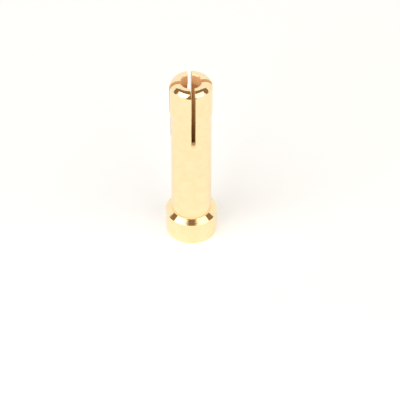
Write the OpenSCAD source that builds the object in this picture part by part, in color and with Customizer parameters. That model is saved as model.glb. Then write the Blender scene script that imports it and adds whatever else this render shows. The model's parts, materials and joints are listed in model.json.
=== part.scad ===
// Gold-plated bullet connector: 5 mm plug at the top, 4 mm socket at the foot.
// One piece, turned from bar on a single axis and slotted by two crossing saw cuts.
// The socket's open face stands on z = 0 and the axis is +Z.

/* [Overall] */
// Length from the open face of the collar to the tip of the head
total_len = 23.2; // [22:0.1:26]

/* [Contact head] */
// Diameter of the sprung contact head
head_d = 5.0; // [4.95:0.05:5.4]
// Length of the head, from its tip to the start of its back taper
head_len = 4.5; // [3.5:0.1:6]
// Radius of the rounded nose
nose_r = 0.95; // [0.5:0.05:1.1]
// Length of the taper from the head down to the shank
head_taper_len = 0.55; // [0.3:0.05:1]

/* [Shank] */
// Diameter of the shank between the collar and the head
shank_d = 4.8; // [4.7:0.05:4.9]

/* [Collar] */
// Diameter of the collar around the socket
collar_d = 6.15; // [6:0.05:7]
// Length of the collar's straight wall
collar_len = 3.1; // [2.5:0.1:4]
// Height of the sloping shoulder between the collar and the shank
shoulder_len = 0.42; // [0.2:0.02:0.8]
// Radius that rounds the outer edge of the open face
foot_round_r = 0.25; // [0.1:0.05:0.35]

/* [Socket] */
// Bore that receives a 4 mm plug
socket_d = 4.1; // [4:0.05:4.2]
// Depth of that bore, measured from the open face
socket_depth = 11.5; // [9:0.1:12.5]
// Width and depth of the 45 degree lead-in at the socket's mouth
lead_in = 0.38; // [0.2:0.02:0.5]

/* [Drilling] */
// Bore that hollows out the spring fingers
finger_bore_d = 3.4; // [3:0.05:3.6]
// Hole through the nose
tip_hole_d = 2.35; // [2:0.05:2.6]
// Thickness of the nose that the tip hole runs through
nose_wall = 1.7; // [1.2:0.1:2.5]
// Edge break where the tip hole opens at the nose
tip_break = 0.1; // [0.05:0.01:0.2]

/* [Slots] */
// Width of each saw cut
slot_w = 0.5; // [0.3:0.05:0.7]
// Depth of the cuts on the axis, measured from the tip
slot_len = 8.0; // [6:0.1:9]
// Diameter of the slitting saw, which leaves a slightly hollow root
saw_d = 32; // [26:1:60]
// Turn of the pair of cuts about the axis, in degrees
slot_turn = 5.5; // [0:0.5:45]

/* [Hidden] */
$fn = 128;
// Overrun of a cut past the surface it opens through
over = 0.5;
// Half angle of the drill point that ends each blind step
drill_half_angle = 59;
head_r = head_d / 2;
shank_r = shank_d / 2;
collar_r = collar_d / 2;
socket_r = socket_d / 2;
finger_bore_r = finger_bore_d / 2;
tip_hole_r = tip_hole_d / 2;
saw_r = saw_d / 2;
shoulder_top = collar_len + shoulder_len;
head_base = total_len - head_len;
finger_bore_top = total_len - nose_wall;

// A ring-shaped step with a rounded edge, drawn as half of its section.
// at is +1 to round the top edge and -1 to round the bottom edge.
module rounded_section(r, z0, z1, edge_r, at) {
    centre_z = at > 0 ? z1 - edge_r : z0 + edge_r;
    union() {
        translate([0, at > 0 ? z0 : centre_z]) square([r, z1 - z0 - edge_r]);
        translate([0, z0]) square([r - edge_r, z1 - z0]);
        translate([r - edge_r, centre_z]) circle(r = edge_r);
    }
}

// Cone-shaped transition between two radii, as half of its section.
module taper_section(r0, z0, r1, z1) {
    polygon([[0, z0], [r0, z0], [r1, z1], [0, z1]]);
}

// Outside of the turned blank.
module blank() {
    rotate_extrude() {
        rounded_section(collar_r, 0, collar_len, foot_round_r, -1);
        taper_section(collar_r, collar_len, shank_r, shoulder_top);
        square([shank_r, head_base]);
        taper_section(shank_r, head_base - head_taper_len, head_r, head_base);
        rounded_section(head_r, head_base, total_len, nose_r, 1);
    }
}

// Blind bore with the cone that a drill point leaves, running up from z0.
module drilled(r, z0, z1) {
    point = r / tan(drill_half_angle);
    translate([0, 0, z0]) cylinder(r = r, h = z1 - z0);
    translate([0, 0, z1]) cylinder(r1 = r, r2 = 0.02, h = point);
}

// The three drilling steps, the lead-in and the edge break at the tip.
module bores() {
    drilled(socket_r, -over, socket_depth);
    drilled(finger_bore_r, socket_depth - over, finger_bore_top);
    translate([0, 0, finger_bore_top]) cylinder(r = tip_hole_r, h = nose_wall + over);
    translate([0, 0, -over])
        cylinder(r1 = socket_r + lead_in + over, r2 = socket_r, h = lead_in + over);
    translate([0, 0, total_len - tip_break])
        cylinder(r1 = tip_hole_r, r2 = tip_hole_r + tip_break + over, h = tip_break + over);
}

// One pass of the slitting saw, straight down the axis.
module saw_cut() {
    translate([0, 0, total_len - slot_len + saw_r])
        rotate([90, 0, 0]) cylinder(r = saw_r, h = slot_w, center = true, $fn = 256);
}

module connector_body() {
    color([0.96, 0.78, 0.42]) difference() {
        blank();
        bores();
        for (turn = [0, 90]) rotate([0, 0, slot_turn + turn]) saw_cut();
    }
}

connector_body();
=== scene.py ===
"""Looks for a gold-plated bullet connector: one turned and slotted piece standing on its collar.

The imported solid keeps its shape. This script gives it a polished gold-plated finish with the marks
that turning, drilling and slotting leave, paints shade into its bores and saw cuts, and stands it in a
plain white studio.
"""

import json
import logging
from dataclasses import dataclass, field
from enum import Enum
from math import cos, pi, radians, sin
from typing import Callable

import bpy
import numpy as np
from mathutils import Matrix, Vector

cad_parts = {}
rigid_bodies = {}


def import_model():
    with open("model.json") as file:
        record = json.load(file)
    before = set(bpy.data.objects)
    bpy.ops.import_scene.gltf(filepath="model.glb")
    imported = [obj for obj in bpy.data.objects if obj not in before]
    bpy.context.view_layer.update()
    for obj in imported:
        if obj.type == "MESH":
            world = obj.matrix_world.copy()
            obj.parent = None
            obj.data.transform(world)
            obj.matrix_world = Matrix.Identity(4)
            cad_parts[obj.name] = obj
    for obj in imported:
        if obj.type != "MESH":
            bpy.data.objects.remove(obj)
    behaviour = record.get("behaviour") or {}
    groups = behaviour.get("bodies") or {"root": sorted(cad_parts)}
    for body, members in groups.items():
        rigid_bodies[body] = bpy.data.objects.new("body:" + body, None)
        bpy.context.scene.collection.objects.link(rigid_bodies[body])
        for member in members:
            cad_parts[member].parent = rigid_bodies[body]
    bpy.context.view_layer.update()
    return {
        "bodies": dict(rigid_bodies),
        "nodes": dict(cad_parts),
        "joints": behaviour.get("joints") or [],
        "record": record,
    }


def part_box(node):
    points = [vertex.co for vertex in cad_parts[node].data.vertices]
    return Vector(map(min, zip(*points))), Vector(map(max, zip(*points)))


LOG = logging.getLogger("bullet_connector")
MM = 0.001
CHATTER_SCALE = 2200.0  # noise cells per metre round the part
PATCH_SCALE = 0.12  # size of a grain over the size of a patch
FLOOR_POINTS = 61
CLIP_RANGE = (0.01, 10.0)
WHITE = (1.0, 1.0, 1.0)

Link = bpy.types.NodeSocket
Colour = tuple[float, float, float, float]


class Side(Enum):
    """Which side of the part a studio lamp or flag is on, as a sign along X."""

    LEFT = -1
    RIGHT = 1


# ---------------------------------------------------------------------------------------------
# Node helpers
# ---------------------------------------------------------------------------------------------


@dataclass
class NodeBench:
    """Thin wrapper that adds and wires nodes in one node tree.

    Attributes:
        tree: The node tree that receives the nodes.
    """

    tree: bpy.types.NodeTree

    def add(self, kind: str, **settings: object) -> bpy.types.Node:
        """Adds a node and sets its plain properties.

        Args:
            kind: Blender's node type name.
            **settings: Properties to set on the new node.

        Returns:
            The new node.
        """
        node = self.tree.nodes.new(kind)
        for name, value in settings.items():
            setattr(node, name, value)
        return node

    def plug(self, value: object, socket: Link) -> None:
        """Links an output to a socket, or writes a constant into it.

        Args:
            value: An output socket, or a number or tuple.
            socket: The input that receives it.
        """
        if isinstance(value, bpy.types.NodeSocket):
            self.tree.links.new(value, socket)
        else:
            socket.default_value = value

    def maths(self, operation: str, *values: object, clamp: bool = False) -> Link:
        """Adds a Math node.

        Args:
            operation: The Math node's operation.
            *values: One to three inputs, sockets or numbers.
            clamp: Whether the result is held between 0 and 1.

        Returns:
            The node's value output.
        """
        node = self.add("ShaderNodeMath", operation=operation, use_clamp=clamp)
        for value, socket in zip(values, node.inputs):
            self.plug(value, socket)
        return node.outputs[0]

    def axis_distance(self, x: object, y: object) -> Link:
        """Adds the distance from the Z axis: the root of x squared plus y squared.

        Args:
            x: X of the point.
            y: Y of the point.

        Returns:
            The distance.
        """
        squares = self.maths("ADD", self.maths("MULTIPLY", x, x), self.maths("MULTIPLY", y, y))
        return self.maths("SQRT", squares)

    def ramp(self, value: object, low: float, high: float, start: float = 0.0, end: float = 1.0) -> Link:
        """Maps low..high smoothly to start..end and clamps outside.

        Args:
            value: The driving value.
            low: Input at which the result is start.
            high: Input at which the result is end.
            start: Result at the low end.
            end: Result at the high end.

        Returns:
            The mapped value.
        """
        node = self.add("ShaderNodeMapRange", interpolation_type="SMOOTHSTEP")
        self.plug(value, node.inputs["Value"])
        for name, number in (("From Min", low), ("From Max", high), ("To Min", start), ("To Max", end)):
            node.inputs[name].default_value = number
        return node.outputs["Result"]

    def blend(self, factor: object, first: object, second: object) -> Link:
        """Mixes two colours.

        Args:
            factor: Share of the second colour.
            first: Colour at factor 0.
            second: Colour at factor 1.

        Returns:
            The mixed colour.
        """
        node = self.add("ShaderNodeMix", data_type="RGBA")
        self.plug(factor, node.inputs[0])
        self.plug(first, node.inputs[6])
        self.plug(second, node.inputs[7])
        return node.outputs[2]


def new_group(
    name: str,
    inputs: dict[str, tuple[str, object]],
    outputs: dict[str, str],
    fill: Callable[[NodeBench, dict[str, Link], dict[str, Link]], None],
) -> bpy.types.NodeTree:
    """Builds a shader node group with named sockets.

    Args:
        name: Name of the group.
        inputs: Socket name to (socket kind, default value).
        outputs: Socket name to socket kind.
        fill: Called with the bench, the group's inputs and its outputs, to add the inner nodes.

    Returns:
        The finished group.
    """
    group = bpy.data.node_groups.new(name, "ShaderNodeTree")
    for label, (kind, default) in inputs.items():
        socket = group.interface.new_socket(label, in_out="INPUT", socket_type=kind)
        if default is not None:
            socket.default_value = default
    for label, kind in outputs.items():
        group.interface.new_socket(label, in_out="OUTPUT", socket_type=kind)
    bench = NodeBench(group)
    entry = bench.add("NodeGroupInput")
    leave = bench.add("NodeGroupOutput")
    fill(bench, {s.name: s for s in entry.outputs}, {s.name: s for s in leave.inputs})
    return group


# ---------------------------------------------------------------------------------------------
# Effects shared by the zones of the plating
# ---------------------------------------------------------------------------------------------


@dataclass
class ShopMarks:
    """Node groups for the marks that machine tools and plating leave."""

    groups: dict[str, bpy.types.NodeTree] = field(default_factory=dict)

    def build(self) -> None:
        """Builds every group once."""
        self.groups["lathe"] = new_group(
            "LatheMarks",
            {"Position": ("NodeSocketVector", None), "Pitch": ("NodeSocketFloat", 0.0001),
             "Chatter": ("NodeSocketFloat", 0.3)},
            {"Height": "NodeSocketFloat"},
            self._fill_lathe,
        )
        self.groups["orange_peel"] = new_group(
            "PlatingGrain",
            {"Position": ("NodeSocketVector", None), "Grain": ("NodeSocketFloat", 0.0002)},
            {"Height": "NodeSocketFloat", "Patches": "NodeSocketFloat"},
            self._fill_grain,
        )
        self.groups["edge"] = new_group(
            "EdgeBand",
            {"Value": ("NodeSocketFloat", 0.0), "Edge": ("NodeSocketFloat", 0.0),
             "Width": ("NodeSocketFloat", 0.0001)},
            {"Mask": "NodeSocketFloat"},
            self._fill_edge,
        )

    def place(self, bench: NodeBench, name: str, **values: object) -> bpy.types.Node:
        """Places a group in a material.

        Args:
            bench: The material's bench.
            name: Key of the group.
            **values: Input values by socket name.

        Returns:
            The group node.
        """
        node = bench.add("ShaderNodeGroup", node_tree=self.groups[name])
        for label, value in values.items():
            bench.plug(value, node.inputs[label])
        return node

    @staticmethod
    def _fill_lathe(bench: NodeBench, given: dict[str, Link], out: dict[str, Link]) -> None:
        """Rings that follow radius and height: one-dimensional noise on (radius, z) over the pitch,
        broken up a little around the part by a second noise on the full position.

        Args:
            bench: The group's bench.
            given: The group's inputs.
            out: The group's outputs.
        """
        split = bench.add("ShaderNodeSeparateXYZ")
        bench.plug(given["Position"], split.inputs[0])
        x, y, z = split.outputs
        radius = bench.axis_distance(x, y)
        ring = bench.add("ShaderNodeCombineXYZ")
        bench.plug(bench.maths("DIVIDE", radius, given["Pitch"]), ring.inputs[0])
        bench.plug(bench.maths("DIVIDE", z, given["Pitch"]), ring.inputs[2])
        rings = bench.add("ShaderNodeTexNoise", noise_dimensions="3D")
        rings.inputs["Scale"].default_value = 1.0
        rings.inputs["Detail"].default_value = 2.0
        bench.plug(ring.outputs[0], rings.inputs["Vector"])
        chatter = bench.add("ShaderNodeTexNoise", noise_dimensions="3D")
        chatter.inputs["Scale"].default_value = CHATTER_SCALE
        chatter.inputs["Detail"].default_value = 1.0
        bench.plug(given["Position"], chatter.inputs["Vector"])
        uneven = bench.maths("MULTIPLY", chatter.outputs[0], given["Chatter"])
        bench.plug(bench.maths("ADD", rings.outputs[0], uneven), out["Height"])

    @staticmethod
    def _fill_grain(bench: NodeBench, given: dict[str, Link], out: dict[str, Link]) -> None:
        """Fine orange-peel height and broad patches of slightly different polish.

        Args:
            bench: The group's bench.
            given: The group's inputs.
            out: The group's outputs.
        """
        scaled = bench.add("ShaderNodeVectorMath", operation="SCALE")
        bench.plug(given["Position"], scaled.inputs[0])
        bench.plug(bench.maths("DIVIDE", 1.0, given["Grain"]), scaled.inputs["Scale"])
        peel = bench.add("ShaderNodeTexNoise", noise_dimensions="3D")
        peel.inputs["Scale"].default_value = 1.0
        peel.inputs["Detail"].default_value = 2.0
        bench.plug(scaled.outputs[0], peel.inputs["Vector"])
        broad = bench.add("ShaderNodeTexNoise", noise_dimensions="3D")
        broad.inputs["Scale"].default_value = PATCH_SCALE
        broad.inputs["Detail"].default_value = 3.0
        bench.plug(scaled.outputs[0], broad.inputs["Vector"])
        bench.plug(peel.outputs[0], out["Height"])
        bench.plug(broad.outputs[0], out["Patches"])

    @staticmethod
    def _fill_edge(bench: NodeBench, given: dict[str, Link], out: dict[str, Link]) -> None:
        """A soft band, 1 where Value meets Edge and 0 from Width away.

        Args:
            bench: The group's bench.
            given: The group's inputs.
            out: The group's outputs.
        """
        away = bench.maths("ABSOLUTE", bench.maths("SUBTRACT", given["Value"], given["Edge"]))
        share = bench.maths("DIVIDE", away, given["Width"])
        bench.plug(bench.maths("SUBTRACT", 1.0, share, clamp=True), out["Mask"])


@dataclass(frozen=True)
class GoldPlating:
    """Polished gold over turned brass.

    Attributes:
        bright: Colour of the open, polished surface.
        nose_bore_shade: Painted shade on the drilled and sawn surfaces up at the nose, a deeper, redder
            gold that stands in for light bouncing between the gold walls.
        lower_bore_shade: Painted shade on the drilled and sawn surfaces lower down, a slightly deeper
            gold.
        patch_tint: What the bright colour is multiplied by in the warmer patches.
        patch_limits: Patch noise at which the warmer tint ends and begins.
        edge_band_tint: Paler colour of the bands along the turned edges.
        edge_band_share: How far a band takes that paler colour.
        edge_band_width: How far a band reaches from its edge.
        edge_band_rough: Roughness that a band adds.
        polish: Roughness of the outside.
        polish_range: Lowest and highest share of that roughness over the patches.
        polish_limits: Patch noise at which those two are reached.
        drilled: Roughness inside the bores and on the sawn walls.
        dulling: How much metallic shine the drilled and sawn surfaces lose.
        sawn_share: How far a sawn wall takes the drilled finish and the painted bore shade.
        bore_margin: Distance outside a bore's wall that still counts as drilled.
        saw_margin: Distance outside a saw cut that still counts as sawn.
        ring_pitch: Spacing of the turning marks.
        ring_depth: Height of the turning marks.
        chatter: How uneven the turning marks are round the part.
        grain_size: Size of the plating's grain.
        grain_depth: Height of the plating's grain.
    """

    bright: Colour = (1.0, 0.825, 0.51, 1.0)
    nose_bore_shade: Colour = (1.0, 0.67, 0.36, 1.0)
    lower_bore_shade: Colour = (1.0, 0.80, 0.50, 1.0)
    patch_tint: Colour = (0.985, 0.955, 0.90, 1.0)
    patch_limits: tuple[float, float] = (0.3, 0.7)
    edge_band_tint: Colour = (1.0, 0.9, 0.62, 1.0)
    edge_band_share: float = 0.35
    edge_band_width: float = 0.12 * MM
    edge_band_rough: float = 0.03
    polish: float = 0.07
    polish_range: tuple[float, float] = (0.75, 1.35)
    polish_limits: tuple[float, float] = (0.25, 0.75)
    drilled: float = 0.46
    dulling: float = 0.78
    sawn_share: float = 0.8
    bore_margin: float = 0.015 * MM
    saw_margin: float = 0.012 * MM
    ring_pitch: float = 0.07 * MM
    ring_depth: float = 0.0026 * MM
    chatter: float = 0.35
    grain_size: float = 0.11 * MM
    grain_depth: float = 0.0008 * MM

    def make(
        self,
        marks: ShopMarks,
        bores: tuple[tuple[float, float, float], ...],
        slots: tuple[float, float, float],
        bore_shade_heights: tuple[float, float],
        edges: tuple[float, ...],
    ) -> bpy.types.Material:
        """Builds the material.

        Args:
            marks: The shared node groups.
            bores: Radius, lowest and highest height of each drilled step.
            slots: Width of a saw cut, height of its root, and turn of the cuts in degrees.
            bore_shade_heights: Heights between which the lower painted bore shade gives way to the deeper
                one at the nose.
            edges: Heights along Z of the turned edges that get a paler, rougher band.

        Returns:
            The material.
        """
        material = bpy.data.materials.new("GoldPlating")
        material.use_nodes = True
        material.node_tree.nodes.clear()
        bench = NodeBench(material.node_tree)
        place = bench.add("ShaderNodeTexCoord").outputs["Object"]
        split = bench.add("ShaderNodeSeparateXYZ")
        bench.plug(place, split.inputs[0])
        x, y, z = split.outputs
        radius = bench.axis_distance(x, y)
        # Drilled and sawn surfaces: this mask gives them a rougher, duller finish and the painted shade
        # of the bores.
        inside: object = 0.0
        for bore, low, high in bores:
            within = bench.maths("LESS_THAN", radius, bore + self.bore_margin)
            above = bench.maths("GREATER_THAN", z, low)
            below = bench.maths("LESS_THAN", z, high)
            step = bench.maths("MULTIPLY", within, bench.maths("MULTIPLY", above, below))
            inside = bench.maths("MAXIMUM", inside, step)

        slot_width, slot_root, slot_turn = slots
        right, up = cos(radians(slot_turn)), sin(radians(slot_turn))
        across = bench.maths("ADD", bench.maths("MULTIPLY", x, right), bench.maths("MULTIPLY", y, up))
        along = bench.maths("SUBTRACT", bench.maths("MULTIPLY", y, right), bench.maths("MULTIPLY", x, up))
        nearest = bench.maths("MINIMUM", bench.maths("ABSOLUTE", across), bench.maths("ABSOLUTE", along))
        sawn = bench.maths("LESS_THAN", nearest, slot_width * 0.5 + self.saw_margin)
        sawn = bench.maths("MULTIPLY", sawn, bench.maths("GREATER_THAN", z, slot_root))
        inside = bench.maths("MAXIMUM", inside, bench.maths("MULTIPLY", sawn, self.sawn_share))

        grain = marks.place(bench, "orange_peel", Position=place, Grain=self.grain_size)
        lathe = marks.place(bench, "lathe", Position=place, Pitch=self.ring_pitch, Chatter=self.chatter)
        # Paler, rougher bands along the turned edges at the collar top and the head base.
        edge_bands: object = 0.0
        for edge in edges:
            band = marks.place(bench, "edge", Value=z, Edge=edge, Width=self.edge_band_width)
            edge_bands = bench.maths("MAXIMUM", edge_bands, band.outputs["Mask"])

        shade = bench.ramp(grain.outputs["Patches"], *self.patch_limits)
        warmer = tuple(c * k for c, k in zip(self.bright, self.patch_tint))
        tint = bench.blend(shade, self.bright, warmer)
        tint = bench.blend(bench.maths("MULTIPLY", edge_bands, self.edge_band_share), tint, self.edge_band_tint)
        # Painted shade: a deeper, redder gold in the bores and saw cuts, deepest towards the nose, stands
        # in for the light bouncing between the gold walls.
        lower_bore_shade = bench.blend(bench.ramp(z, *bore_shade_heights), self.lower_bore_shade, self.nose_bore_shade)
        tint = bench.blend(inside, tint, lower_bore_shade)

        smooth, coarse = (self.polish * share for share in self.polish_range)
        polish = bench.ramp(grain.outputs["Patches"], *self.polish_limits, smooth, coarse)
        polish = bench.maths("ADD", polish, bench.maths("MULTIPLY", edge_bands, self.edge_band_rough))
        rough = bench.maths("ADD", polish, bench.maths("MULTIPLY", inside, self.drilled - self.polish))

        height = bench.maths(
            "ADD",
            bench.maths("MULTIPLY", lathe.outputs["Height"], self.ring_depth),
            bench.maths("MULTIPLY", grain.outputs["Height"], self.grain_depth),
        )
        bump = bench.add("ShaderNodeBump")
        bump.inputs["Strength"].default_value = 1.0
        bump.inputs["Distance"].default_value = 1.0
        bench.plug(height, bump.inputs["Height"])

        metal = bench.add("ShaderNodeBsdfPrincipled")
        shine = bench.maths("SUBTRACT", 1.0, bench.maths("MULTIPLY", inside, self.dulling))
        bench.plug(shine, metal.inputs["Metallic"])
        bench.plug(tint, metal.inputs["Base Color"])
        bench.plug(rough, metal.inputs["Roughness"])
        bench.plug(bump.outputs["Normal"], metal.inputs["Normal"])
        bench.plug(metal.outputs[0], bench.add("ShaderNodeOutputMaterial").inputs["Surface"])
        return material


# ---------------------------------------------------------------------------------------------
# The part
# ---------------------------------------------------------------------------------------------


@dataclass
class ConnectorBody:
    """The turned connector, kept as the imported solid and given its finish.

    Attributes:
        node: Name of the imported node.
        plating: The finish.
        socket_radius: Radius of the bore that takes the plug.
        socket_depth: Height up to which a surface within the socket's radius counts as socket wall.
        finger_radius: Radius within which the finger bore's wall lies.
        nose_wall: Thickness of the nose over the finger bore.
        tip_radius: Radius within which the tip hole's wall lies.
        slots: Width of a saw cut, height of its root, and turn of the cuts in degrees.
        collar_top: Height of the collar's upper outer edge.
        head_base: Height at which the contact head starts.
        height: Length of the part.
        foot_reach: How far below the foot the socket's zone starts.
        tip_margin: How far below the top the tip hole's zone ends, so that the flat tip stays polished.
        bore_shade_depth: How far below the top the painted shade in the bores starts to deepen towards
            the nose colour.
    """

    node: str = "connector_body"
    plating: GoldPlating = field(default_factory=GoldPlating)
    socket_radius: float = 2.05 * MM
    socket_depth: float = 13.0 * MM
    finger_radius: float = 1.72 * MM
    nose_wall: float = 1.7 * MM
    tip_radius: float = 1.26 * MM
    slots: tuple[float, float, float] = (0.5 * MM, 15.0 * MM, 5.5)
    collar_top: float = 3.1 * MM
    head_base: float = 18.7 * MM
    height: float = 23.2 * MM
    foot_reach: float = 1.0 * MM
    tip_margin: float = 0.02 * MM
    bore_shade_depth: float = 4.0 * MM

    def measure(self, frame: dict) -> None:
        """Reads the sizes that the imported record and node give.
        """
        mounts = {m["name"]: m for m in frame["record"]["mounts"]}
        self.socket_radius = mounts["socket"]["dims"]["r_mm"] * MM
        self.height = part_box(self.node)[1].z

    def dress(self, frame: dict, marks: ShopMarks) -> bpy.types.Object:
        """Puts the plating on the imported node.

        Args:
            marks: The shared node groups.

        Returns:
            The node's object.
        """
        body = frame["nodes"][self.node]
        nose_base = self.height - self.nose_wall
        bores = (
            (self.socket_radius, -self.foot_reach, self.socket_depth),
            (self.finger_radius, self.socket_depth, nose_base),
            (self.tip_radius, nose_base, self.height - self.tip_margin),
        )
        # Heights over which the painted shade in the bores deepens towards the nose.
        bore_shade_heights = (self.height - self.bore_shade_depth, nose_base)
        gold = self.plating.make(marks, bores, self.slots, bore_shade_heights, (self.collar_top, self.head_base))
        for slot in body.material_slots:
            slot.material = gold
        return body


# ---------------------------------------------------------------------------------------------
# Studio
# ---------------------------------------------------------------------------------------------


@dataclass
class Studio:
    """White floor and surround, two lamps, and a dark ceiling, front card and pair of side flags.

    Attributes:
        floor_half: Half the floor's width.
        floor_colour: Colour of the floor.
        floor_glow: Colour of what the floor adds for the camera and in reflections.
        floor_glow_level: Strength of what it adds.
        surround: Strength of the white surround as a light.
        lamp_level: Radiance of the left lamp, where 1 is white.
        right_share: Level of the right lamp over that of the left one.
        right_colour: Colour of the right lamp.
        lamp_size: Width and length of a lamp.
        lamp_direction: Direction from the part to the left lamp.
        lamp_axis: Direction of the left lamp's long side.
        lamp_distance: Distance from the part to a lamp.
        ceiling_height: Height of the dark ceiling over the floor.
        ceiling_half: How far the ceiling reaches to the front.
        ceiling_back: How far the ceiling reaches to the back.
        ceiling_side: How far the ceiling reaches to each side.
        front_half: Half the front card's width.
        flag_foot: Front and back of a flag at its foot, along Y.
        flag_head: Front and back of a flag at the ceiling, along Y.
        flag_lift: Height of a flag's foot over the floor.
        card_colour: Colour of the dark cards.
        card_grey: Strength of the dark cards.
    """

    floor_half: float = 1.2
    floor_colour: Colour = (0.87, 0.87, 0.87, 1.0)
    floor_glow: Colour = (0.86, 0.95, 1.0, 1.0)
    floor_glow_level: float = 0.385
    surround: float = 0.4
    lamp_level: float = 2.1
    right_share: float = 0.75
    right_colour: tuple[float, float, float] = (1.0, 0.98, 0.88)
    lamp_size: tuple[float, float] = (0.58, 0.52)
    lamp_direction: tuple[float, float, float] = (-0.555, -0.482, 0.662)
    lamp_axis: tuple[float, float, float] = (-0.68, 0.72, -0.27)
    lamp_distance: float = 0.6
    ceiling_height: float = 0.75
    ceiling_half: float = 1.0
    ceiling_back: float = 0.42
    ceiling_side: float = 0.82
    front_half: float = 0.5
    flag_foot: tuple[float, float] = (-0.12, 0.08)
    flag_head: tuple[float, float] = (-0.22, 0.34)
    flag_lift: float = 0.02
    card_colour: Colour = (1.0, 0.62, 0.36, 1.0)
    card_grey: float = 0.28

    def floor(self) -> bpy.types.Object:
        """Builds the floor: a flat grid at z = 0 over a square.

        Returns:
            The floor object.
        """
        across = np.linspace(-1.0, 1.0, FLOOR_POINTS)
        u, v = np.meshgrid(across, across)
        x, y = u * self.floor_half, v * self.floor_half
        z = np.zeros_like(x)
        piece = grid_piece("studio_floor", x, y, z)
        material = bpy.data.materials.new("StudioPaper")
        material.use_nodes = True
        material.node_tree.nodes.clear()
        bench = NodeBench(material.node_tree)
        paper = bench.add("ShaderNodeBsdfDiffuse")
        paper.inputs["Color"].default_value = self.floor_colour
        glow = bench.add("ShaderNodeEmission")
        path = bench.add("ShaderNodeLightPath")
        seen = bench.maths("MAXIMUM", path.outputs["Is Camera Ray"], path.outputs["Is Glossy Ray"])
        seen = bench.maths("MAXIMUM", seen, path.outputs["Is Transmission Ray"])
        glow.inputs["Color"].default_value = self.floor_glow
        bench.plug(bench.maths("MULTIPLY", seen, self.floor_glow_level), glow.inputs["Strength"])
        both = bench.add("ShaderNodeAddShader")
        bench.plug(paper.outputs[0], both.inputs[0])
        bench.plug(glow.outputs[0], both.inputs[1])
        bench.plug(both.outputs[0], bench.add("ShaderNodeOutputMaterial").inputs["Surface"])
        piece.data.materials.append(material)
        return piece

    def surround_light(self) -> None:
        """Makes the world white to the camera and in reflections, and weaker as a light."""
        world = bpy.data.worlds.new("StudioSurround")
        bpy.context.scene.world = world
        world.use_nodes = True
        bench = NodeBench(world.node_tree)
        back = world.node_tree.nodes["Background"]
        back.inputs["Color"].default_value = (*WHITE, 1.0)
        path = bench.add("ShaderNodeLightPath")
        seen = bench.maths("MAXIMUM", path.outputs["Is Camera Ray"], path.outputs["Is Glossy Ray"])
        seen = bench.maths("MAXIMUM", seen, path.outputs["Is Transmission Ray"])
        level = bench.maths("ADD", self.surround, bench.maths("MULTIPLY", seen, 1.0 - self.surround))
        bench.plug(level, back.inputs["Strength"])

    def card(self, name: str, corners: np.ndarray) -> bpy.types.Object:
        """Builds a flat dark card that the camera doesn't see.

        Args:
            name: Name of the card.
            corners: Four corners in order, one per row.

        Returns:
            The card object.
        """
        mesh = bpy.data.meshes.new(name)
        mesh.from_pydata([tuple(c) for c in corners], [], [(0, 1, 2, 3)])
        piece = bpy.data.objects.new(name, mesh)
        bpy.context.scene.collection.objects.link(piece)
        material = bpy.data.materials.new(name + "_cloth")
        material.use_nodes = True
        material.node_tree.nodes.clear()
        bench = NodeBench(material.node_tree)
        glow = bench.add("ShaderNodeEmission")
        glow.inputs["Color"].default_value = self.card_colour
        glow.inputs["Strength"].default_value = self.card_grey
        bench.plug(glow.outputs[0], bench.add("ShaderNodeOutputMaterial").inputs["Surface"])
        mesh.materials.append(material)
        piece.visible_camera = False
        piece.visible_shadow = True
        return piece

    def ceiling(self) -> list[bpy.types.Object]:
        """Builds the dark ceiling, the dark card on the camera's side and the two side flags.

        Returns:
            The four cards.
        """
        h, half, back, side = self.ceiling_height, self.ceiling_half, self.ceiling_back, self.ceiling_side
        top = [(-side, -half, h), (side, -half, h), (side, back, h), (-side, back, h)]
        width = self.front_half
        front = [(-width, -half, 0.0), (width, -half, 0.0), (width, -half, h), (-width, -half, h)]
        cards = [
            self.card("studio_ceiling", np.array(top)),
            self.card("studio_front_card", np.array(front)),
        ]
        foot, head, lift = self.flag_foot, self.flag_head, self.flag_lift
        for flag in Side:
            x = flag.value * side
            corners = [(x, foot[0], lift), (x, foot[1], lift), (x, head[1], h), (x, head[0], h)]
            cards.append(self.card(f"studio_flag_{flag.name.lower()}", np.array(corners)))
        return cards

    def lamp(self, side: Side) -> bpy.types.Object:
        """Hangs one rectangular lamp that faces the part.

        Args:
            side: Which side it hangs on. The right lamp's place is the mirror image of the left one's.

        Returns:
            The lamp object.
        """
        flip = Vector((float(-side.value), 1.0, 1.0))
        toward = Vector([a * b for a, b in zip(Vector(self.lamp_direction).normalized(), flip)])
        along = Vector([a * b for a, b in zip(Vector(self.lamp_axis).normalized(), flip)])
        data = bpy.data.lights.new(f"studio_lamp_{side.name.lower()}", "AREA")
        data.shape = "RECTANGLE"
        data.size, data.size_y = self.lamp_size
        level = self.lamp_level if side is Side.LEFT else self.lamp_level * self.right_share
        data.energy = level * pi * data.size * data.size_y
        data.color = WHITE if side is Side.LEFT else self.right_colour
        lamp = bpy.data.objects.new(data.name, data)
        z_axis = toward
        y_axis = (along - z_axis * along.dot(z_axis)).normalized()
        x_axis = y_axis.cross(z_axis).normalized()
        turn = np.eye(4)
        for column, axis in enumerate((x_axis, y_axis, z_axis)):
            turn[:3, column] = axis
        turn[:3, 3] = toward * self.lamp_distance
        lamp.matrix_world = Matrix(turn.tolist())
        lamp.visible_camera = False
        bpy.context.scene.collection.objects.link(lamp)
        return lamp


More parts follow.
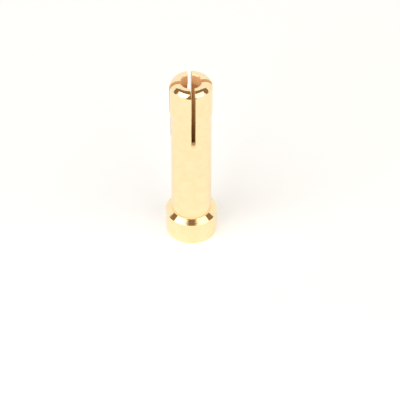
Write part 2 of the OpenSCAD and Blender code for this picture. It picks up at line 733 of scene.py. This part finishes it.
def grid_piece(name: str, x: np.ndarray, y: np.ndarray, z: np.ndarray) -> bpy.types.Object:
    """Makes a mesh object from a grid of points.

    Args:
        name: Name of the object.
        x: X of each grid point, rows by columns.
        y: Y of each grid point.
        z: Z of each grid point.

    Returns:
        The object, linked to the scene.
    """
    rows, columns = x.shape
    points = np.stack([x, y, z], -1).reshape(-1, 3)
    index = np.arange(rows * columns).reshape(rows, columns)
    quads = np.stack([index[:-1, :-1], index[:-1, 1:], index[1:, 1:], index[1:, :-1]], -1).reshape(-1, 4)
    mesh = bpy.data.meshes.new(name)
    mesh.from_pydata(points.tolist(), [], quads.tolist())
    piece = bpy.data.objects.new(name, mesh)
    bpy.context.scene.collection.objects.link(piece)
    return piece


@dataclass
class Viewpoint:
    """Camera that looks down on the part.

    Attributes:
        aim: Point on the floor at the centre of the picture.
        elevation: Height of the camera over the horizon as seen from the aim, in degrees.
        bearing: Turn of the view about the part's axis, in degrees.
        distance: Distance from the aim to the camera.
        focal_ratio: Focal length over the width of the picture.
        sensor: Width of the camera's sensor, in the camera's own millimetres.
    """

    aim: Vector = field(default_factory=lambda: Vector((1.03, 4.62, 0.0)) * MM)
    elevation: float = 43.8
    bearing: float = -1.2
    distance: float = 294.0 * MM
    focal_ratio: float = 6.0
    sensor: float = 36.0

    def place(self) -> bpy.types.Object:
        """Creates the camera and makes it the scene's.

        Returns:
            The camera object.
        """
        data = bpy.data.cameras.new("view_camera")
        data.sensor_width = self.sensor
        data.lens = self.focal_ratio * self.sensor
        data.clip_start, data.clip_end = CLIP_RANGE
        camera = bpy.data.objects.new("view_camera", data)
        tilt, bearing = radians(self.elevation), radians(self.bearing)
        seat = self.aim + Vector((0.0, -cos(tilt), sin(tilt))) * self.distance
        camera.location = Matrix.Rotation(bearing, 3, "Z") @ seat
        camera.rotation_euler = (pi / 2 - tilt, 0.0, bearing)
        bpy.context.scene.collection.objects.link(camera)
        bpy.context.scene.camera = camera
        return camera


def main() -> None:
    """Builds the part's finish, the studio and the view, in that order."""
    logging.basicConfig(level=logging.INFO, format="%(name)s: %(message)s")
    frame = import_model()

    marks = ShopMarks()
    marks.build()
    connector = ConnectorBody()
    connector.measure(frame)
    body = connector.dress(frame, marks)
    LOG.info("dressed %s, %.1f mm tall", body.name, connector.height / MM)

    studio = Studio()
    studio.surround_light()
    LOG.info("laid %s", studio.floor().name)
    for card in studio.ceiling():
        LOG.info("hung %s", card.name)
    for side in Side:
        LOG.info("hung %s", studio.lamp(side).name)

    bpy.context.scene.view_settings.view_transform = "Standard"
    LOG.info("placed %s", Viewpoint().place().name)


if __name__ == "__main__":
    main()
